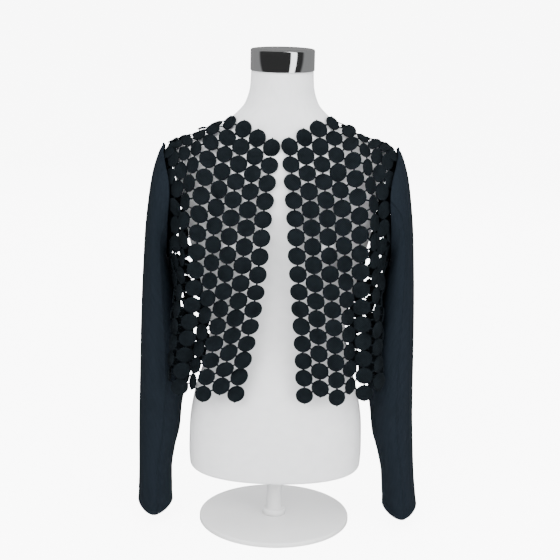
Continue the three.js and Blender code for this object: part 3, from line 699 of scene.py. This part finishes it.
def cut_at_shoulder(piece, facing):
    """Cuts off what lies past the upright plane through the shoulder seams, and closes the cut."""
    work = bmesh.new()
    work.from_mesh(piece.data)
    least = (SHOULDER_CUT_FROM + STAND_HEIGHT) * MM
    high = [f for f in work.faces if min(v.co.z for v in f.verts) > least]
    parts = high + list({e for f in high for e in f.edges}) + list({v for f in high for v in f.verts})
    gap = SEAM_GAP / 2 * MM * facing
    bmesh.ops.bisect_plane(
        work, geom=parts, plane_co=(0, gap, 0), plane_no=(0, -facing, 0), clear_outer=True
    )
    open_edges = [e for e in work.edges if e.is_boundary]
    bmesh.ops.holes_fill(work, edges=open_edges)
    work.to_mesh(piece.data)
    work.free()


CUTWORK = cloth_material(
    "black_cutwork", dark=(0.0003, 0.0006, 0.0009), light=(0.0066, 0.0092, 0.0112), roughness=0.95,
    sheen=0.0, gloss=0.05, lines=(320.0, 320.0), patch_scale=60.0, bump=0.0007,
)
PANELS = (
    dict(name="front_left", side=1, facing=-1, turn=1, folds=FRONT_FOLDS, first_column=0,
         first_row=0, top_row=lambda c: NECK_ROW + c if c < NECK_COLUMN else ROW_LIMIT, seed=11),
    dict(name="front_right", side=-1, facing=-1, turn=-1, folds=FRONT_FOLDS, first_column=0,
         first_row=0, top_row=lambda c: NECK_ROW + c if c < NECK_COLUMN else ROW_LIMIT, seed=23),
    dict(name="back", side=1, facing=1, turn=-1, folds=BACK_FOLDS, first_column=-SIDE_COLUMN,
         first_row=1, top_row=lambda c: BACK_NECK_ROW if c < NECK_COLUMN else ROW_LIMIT, seed=37),
)
for panel in PANELS:
    node = panel["name"]
    piece = cutwork_panel(**{**panel, "name": f"{node}_cutwork"})
    piece.data.materials.append(CUTWORK)
    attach(piece, "root")
    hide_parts(node)


# Sleeves: smooth fine knit in dark navy, each cut in an upper and an under piece that meet in a
# front and a back seam. The head is eased into the armhole over the dots, and the cuff is turned up.
KNIT_THICKNESS = 1.5
SLEEVE = table(
    "step inner_x inner_z outer_x outer_z depth middle square",
    (0, 179.0, 350, 188, 537, 62, 1, 2.1),
    (1, 178.5, 349, 195, 520, 64, 1, 2.15),
    (2, 177.5, 347, 202, 494, 65, 1, 2.2),
    (3, 175.5, 342, 208, 450, 66, 1, 2.3),
    (4, 172.5, 332, 213, 402, 64, 0, 2.4),
    (5, 168.0, 314, 216.5, 346, 61, 0, 2.35),
    (6, 162.5, 276, 219.5, 290, 59, 0, 2.3),
    (7, 155.0, 215, 222, 220, 57, -1, 2.25),
    (8, 152.0, 156, 223, 160, 55, -2, 2.2),
    (9, 153.0, 130, 223.5, 132, 54, -3, 2.1),
    (10, 157.0, 102, 224, 104, 48, -3, 2.0),
    (11, 160.0, 66, 224, 68, 44, -4, 2.0),
    (12, 168.0, 30, 224.5, 31, 41, -5, 1.9),
    (13, 173.0, -8, 225, -8, 39, -6, 1.8),
    (14, 172.5, -40, 226, -40, 38, -7, 1.7),
    (15, 171.0, -63, 227.5, -62, 38, -8, 1.6),
)
LAST_STEP = 15
CUFF_DIP = 15
BACK_DIP_SHARE = 0.3
SWING_START = 110
HEAD_STEPS = 3
HEAD_CLEARANCE = 5.7
BACK_SEAM = 262
SLEEVES = (
    dict(name="left", side=1, swing=11, front_seam=80),
    dict(name="right", side=-1, swing=0, front_seam=104),
)


def side_of_body(y, z):
    """How far out the body's side lies, with the sleeve head's clearance from it."""
    def side(across, up):
        row = {name: read(BODY, name, up) for name in BODY}
        depth = np.where(across < row["middle"], row["front"] + row["middle"], row["back"] - row["middle"])
        share = np.abs((across - row["middle"]) / depth) ** row["square"]
        return row["half_width"] * np.maximum(0.02, 1 - share) ** (1 / row["square"])

    slope_across, slope_up = side(y + 1, z) - side(y - 1, z), side(y, z + 1) - side(y, z - 1)
    return side(y, z) + HEAD_CLEARANCE * np.sqrt(1 + (slope_across / 2) ** 2 + (slope_up / 2) ** 2)


def sleeve_surface(sleeve, step, angle):
    row = {name: read(SLEEVE, name, step) for name in SLEEVE}
    out = power(np.cos(angle), 2 / row["square"])
    forward = power(np.sin(angle), 2 / row["square"])
    head = np.maximum(0, 1 - step / HEAD_STEPS)
    x = (row["inner_x"] + row["outer_x"]) / 2 + out * (row["outer_x"] - row["inner_x"]) / 2
    y = row["middle"] - row["depth"] * forward * (1 - ARMHOLE["taper"] * head * np.maximum(0, out) ** 2)
    z = (row["inner_z"] + row["outer_z"]) / 2 + out * (row["outer_z"] - row["inner_z"]) / 2
    x = x + (side_of_body(y, z) - x) * head**2
    cuff = np.maximum(0, (step - (LAST_STEP - 2)) / 2)
    z = z - CUFF_DIP * cuff * np.where(forward > 0, forward, BACK_DIP_SHARE * forward)
    foot = SLEEVE["inner_z"][-1]
    hanging = np.maximum(0, (SWING_START - z) / (SWING_START - foot))
    x = x + sleeve["swing"] * hanging**1.5
    return np.stack([x, y, z], axis=-1)


SLEEVE_FOLDS = (
    dict(angle=60, height=300, turn=18, tall=60, out=1.6),
    dict(angle=25, height=215, turn=16, tall=70, out=1.2),
    dict(angle=330, height=250, turn=20, tall=80, out=1.4),
    dict(angle=120, height=190, turn=18, tall=60, out=-1.6),
    dict(angle=75, height=110, turn=14, tall=45, out=1.5),
    dict(angle=200, height=260, turn=22, tall=70, out=-1.8),
    dict(angle=15, height=60, turn=14, tall=50, out=-1.0),
    dict(angle=290, height=120, turn=18, tall=60, out=1.3),
    dict(angle=100, height=20, turn=16, tall=30, out=1.0),
)
SEAM_DIP = 0.9
SEAM_REACH = 2.2
CUFF_TURN_UP = 18
CUFF_RISE = 0.45
CUFF_SOFTNESS = 0.8
HEAD_FADE = 12
FOLD_SLANT = 0.4
CROWDED_SHARE = 0.35
EVEN_SHARE = 0.65
PROBE_ANGLE = 0.03
PROBE_STEP = 0.1


def sleeve_piece(name, sleeve, from_seam, to_seam, rings=170, segments=64):
    """One piece of a sleeve between its seams: a thin wall with soft folds and dipped seam edges."""
    steps = np.linspace(0, LAST_STEP, rings)
    shares = (1 - np.cos(np.linspace(0, math.pi, segments + 1))) / 2 * CROWDED_SHARE
    shares = shares + np.linspace(0, 1, segments + 1) * EVEN_SHARE
    angles = np.radians(from_seam + (to_seam - from_seam) * shares)
    step, angle = np.meshgrid(steps, angles, indexing="ij")
    outer = sleeve_surface(sleeve, step, angle)
    around = sleeve_surface(sleeve, step, angle + PROBE_ANGLE)
    around = around - sleeve_surface(sleeve, step, angle - PROBE_ANGLE)
    down = sleeve_surface(sleeve, np.minimum(step + PROBE_STEP, LAST_STEP), angle)
    down = down - sleeve_surface(sleeve, np.maximum(step - PROBE_STEP, 0), angle)
    normal = np.cross(down, around)
    normal /= np.linalg.norm(normal, axis=-1, keepdims=True)
    beside = np.linalg.norm(np.diff(outer, axis=1), axis=-1)
    run = np.concatenate([np.zeros((rings, 1)), np.cumsum(beside, axis=1)], axis=1)
    width = run[:, -1:]
    from_edge = np.minimum(run, width - run)
    raised = -SEAM_DIP * np.exp(-((from_edge / SEAM_REACH) ** 2))
    degrees, heights = np.degrees(angle) % 360, outer[..., 2]
    for fold in SLEEVE_FOLDS:
        away = (degrees - fold["angle"] + 180) % 360 - 180
        tall = (heights - fold["height"] + away * FOLD_SLANT) / fold["tall"]
        raised = raised + fold["out"] * np.exp(-((away / fold["turn"]) ** 2) - tall**2)
    fall = np.linalg.norm(np.diff(outer, axis=0), axis=-1)
    length = np.concatenate([np.zeros((1, segments + 1)), np.cumsum(fall, axis=0)])
    to_cuff = length[-1:] - length
    raised = raised + CUFF_RISE / (1 + np.exp((to_cuff - CUFF_TURN_UP) / CUFF_SOFTNESS))
    raised = raised * np.clip(length / HEAD_FADE, 0, 1)
    outer = outer + normal * raised[..., None]
    for edge, beside_it in ((0, 1), (-1, -2)):
        along = down[:, edge] / np.linalg.norm(down[:, edge], axis=-1, keepdims=True)
        step_in = outer[:, beside_it] - outer[:, edge]
        step_in -= along * np.sum(step_in * along, axis=-1, keepdims=True)
        step_in /= np.linalg.norm(step_in, axis=-1, keepdims=True)
        outer[:, edge] += step_in * SEAM_GAP / 2
    inner = outer - normal * KNIT_THICKNESS
    loop = np.concatenate([outer, inner[:, ::-1]], axis=1)
    count = loop.shape[1]
    faces = ring_faces(rings, count)
    if sleeve["side"] > 0:
        faces = faces[:, ::-1]
    faces = [list(face) for face in faces]
    last = (rings - 1) * count
    for k in range(segments):
        quad = [k, k + 1, count - 2 - k, count - 1 - k]
        low = [last + q for q in quad]
        faces += [quad, low[::-1]] if sleeve["side"] > 0 else [quad[::-1], low]
    points = loop.reshape(-1, 3) * (sleeve["side"], 1, 1)
    flat_run = np.concatenate([run, run[:, ::-1]], axis=1)
    flat_length = np.concatenate([length, length[:, ::-1]], axis=1)
    places = np.stack([flat_run, flat_length], axis=-1).reshape(-1, 2)
    return mesh_object(name, points, faces, places)


KNIT = cloth_material(
    "navy_knit", dark=(0.0040, 0.0062, 0.0090), light=(0.0082, 0.0120, 0.0168), roughness=0.85,
    sheen=0.0, gloss=0.07, lines=(900.0, 0.0), patch_scale=120.0, bump=0.00015,
)
for sleeve in SLEEVES:
    seams = {"upper": (BACK_SEAM - 360, sleeve["front_seam"]), "under": (sleeve["front_seam"], BACK_SEAM)}
    for part, (from_seam, to_seam) in seams.items():
        node = f"sleeve_{sleeve['name']}_{part}"
        piece = sleeve_piece(f"{node}_knit", sleeve, from_seam, to_seam)
        piece.data.materials.append(KNIT)
        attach(piece, "root")
        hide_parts(node)


# Studio: a white floor, wide soft lights in front and above, and a plain grey room for the polished
# cap to mirror, by bearing from the front: shaded before the form, with a window by the fill light.
# The camera looks slightly down.
ROOM_STRENGTH = 1.2
BACKDROP_STRENGTH = 9.0
FLOOR_GLOW = 7.5
ROOM_WALL = 0.3
ROOM_SHADE = 0.04
WINDOW_GLOW = 3.0
ROOM_BANDS = (
    (-180, ROOM_WALL), (-95, ROOM_WALL), (-85, ROOM_SHADE), (29, ROOM_SHADE), (31, WINDOW_GLOW),
    (51, WINDOW_GLOW), (53, ROOM_SHADE), (75, ROOM_SHADE), (85, ROOM_WALL), (180, ROOM_WALL),
)


def stage_floor():
    bpy.ops.mesh.primitive_plane_add(size=60)
    floor = bpy.context.object
    floor.name = "studio_floor"
    floor.visible_glossy = False
    material = bpy.data.materials.new("studio_white")
    material.use_nodes = True
    nodes, link = material.node_tree.nodes, material.node_tree.links.new
    paint = nodes["Principled BSDF"]
    paint.inputs["Base Color"].default_value = (0.88, 0.88, 0.88, 1)
    paint.inputs["Roughness"].default_value = 0.9
    paint.inputs["Emission Color"].default_value = (1, 1, 1, 1)
    ray = nodes.new("ShaderNodeLightPath")
    glow = nodes.new("ShaderNodeMath")
    glow.operation = "MULTIPLY"
    glow.inputs[1].default_value = FLOOR_GLOW
    link(ray.outputs["Is Camera Ray"], glow.inputs[0])
    link(glow.outputs[0], paint.inputs["Emission Strength"])
    floor.data.materials.append(material)


def soft_light(name, place, aim, size, power_w):
    light = bpy.data.lights.new(name, "AREA")
    light.shape = "RECTANGLE"
    light.size, light.size_y = size
    light.energy = power_w
    lamp = bpy.data.objects.new(name, light)
    lamp.location = place
    lamp.visible_glossy = False
    lamp.rotation_euler = (Vector(aim) - Vector(place)).to_track_quat("-Z", "Y").to_euler()
    bpy.context.collection.objects.link(lamp)


def room_surround():
    world = bpy.data.worlds.new("pale_room")
    bpy.context.scene.world = world
    world.use_nodes = True
    nodes, link = world.node_tree.nodes, world.node_tree.links.new
    place = nodes.new("ShaderNodeTexCoord")
    parts = nodes.new("ShaderNodeSeparateXYZ")
    link(place.outputs["Generated"], parts.inputs[0])
    bearing = nodes.new("ShaderNodeMath")
    bearing.operation = "ARCTAN2"
    link(parts.outputs["X"], bearing.inputs[0])
    facing_back = nodes.new("ShaderNodeMath")
    facing_back.operation = "MULTIPLY"
    facing_back.inputs[1].default_value = -1.0
    link(parts.outputs["Y"], facing_back.inputs[0])
    link(facing_back.outputs[0], bearing.inputs[1])
    share = nodes.new("ShaderNodeMapRange")
    share.inputs["From Min"].default_value = -math.pi
    share.inputs["From Max"].default_value = math.pi
    link(bearing.outputs[0], share.inputs["Value"])
    bands = nodes.new("ShaderNodeValToRGB")
    ramp = bands.color_ramp
    stops = [(0.5 + degrees / 360, (tone, tone, tone, 1)) for degrees, tone in ROOM_BANDS]
    while len(ramp.elements) < len(stops):
        ramp.elements.new(0.5)
    for element, (position, colour) in zip(ramp.elements, stops):
        element.position, element.color = position, colour
    link(share.outputs[0], bands.inputs[0])
    mirrored, plain, both = (nodes.new(kind) for kind in (
        "ShaderNodeBackground", "ShaderNodeBackground", "ShaderNodeMixShader"))
    link(bands.outputs[0], mirrored.inputs["Color"])
    plain.inputs["Color"].default_value = (0.96, 0.97, 1.0, 1)
    plain.inputs["Strength"].default_value = ROOM_STRENGTH
    ray = nodes.new("ShaderNodeLightPath")
    link(ray.outputs["Is Glossy Ray"], both.inputs[0])
    link(plain.outputs[0], both.inputs[1])
    link(mirrored.outputs[0], both.inputs[2])
    seen, final = nodes.new("ShaderNodeBackground"), nodes.new("ShaderNodeMixShader")
    seen.inputs["Strength"].default_value = BACKDROP_STRENGTH
    link(ray.outputs["Is Camera Ray"], final.inputs[0])
    link(both.outputs[0], final.inputs[1])
    link(seen.outputs[0], final.inputs[2])
    seen.inputs["Color"].default_value = (1, 1, 1, 1)
    link(final.outputs[0], nodes["World Output"].inputs["Surface"])


stage_floor()
room_surround()
soft_light("key", (-1.3, -2.6, 2.3), (0, 0, 0.45), (2.2, 2.2), 120)
soft_light("fill", (1.9, -2.2, 1.2), (0, 0, 0.45), (2.0, 2.0), 70)
soft_light("top", (0, -0.3, 3.0), (0, 0, 0.4), (2.4, 2.4), 60)
soft_light("behind", (0.3, 2.6, 1.8), (0, 0, 0.45), (2.4, 2.0), 45)

CAMERA_PLACE = (0.0027, -2.1929, 0.9597)
TILT_DOWN = 14.0
PICTURE_ROLL = 1.15
FOCAL_SHARE = 1394 / 560
SENSOR_MM = 36
camera_data = bpy.data.cameras.new("camera")
camera_data.sensor_width = SENSOR_MM
camera_data.lens = SENSOR_MM * FOCAL_SHARE
camera = bpy.data.objects.new("camera", camera_data)
aim = Matrix.Rotation(math.radians(90 - TILT_DOWN), 4, "X")
look = aim @ Matrix.Rotation(math.radians(PICTURE_ROLL), 4, "Z")
camera.matrix_world = Matrix.Translation(CAMERA_PLACE) @ look
bpy.context.collection.objects.link(camera)
bpy.context.scene.camera = camera
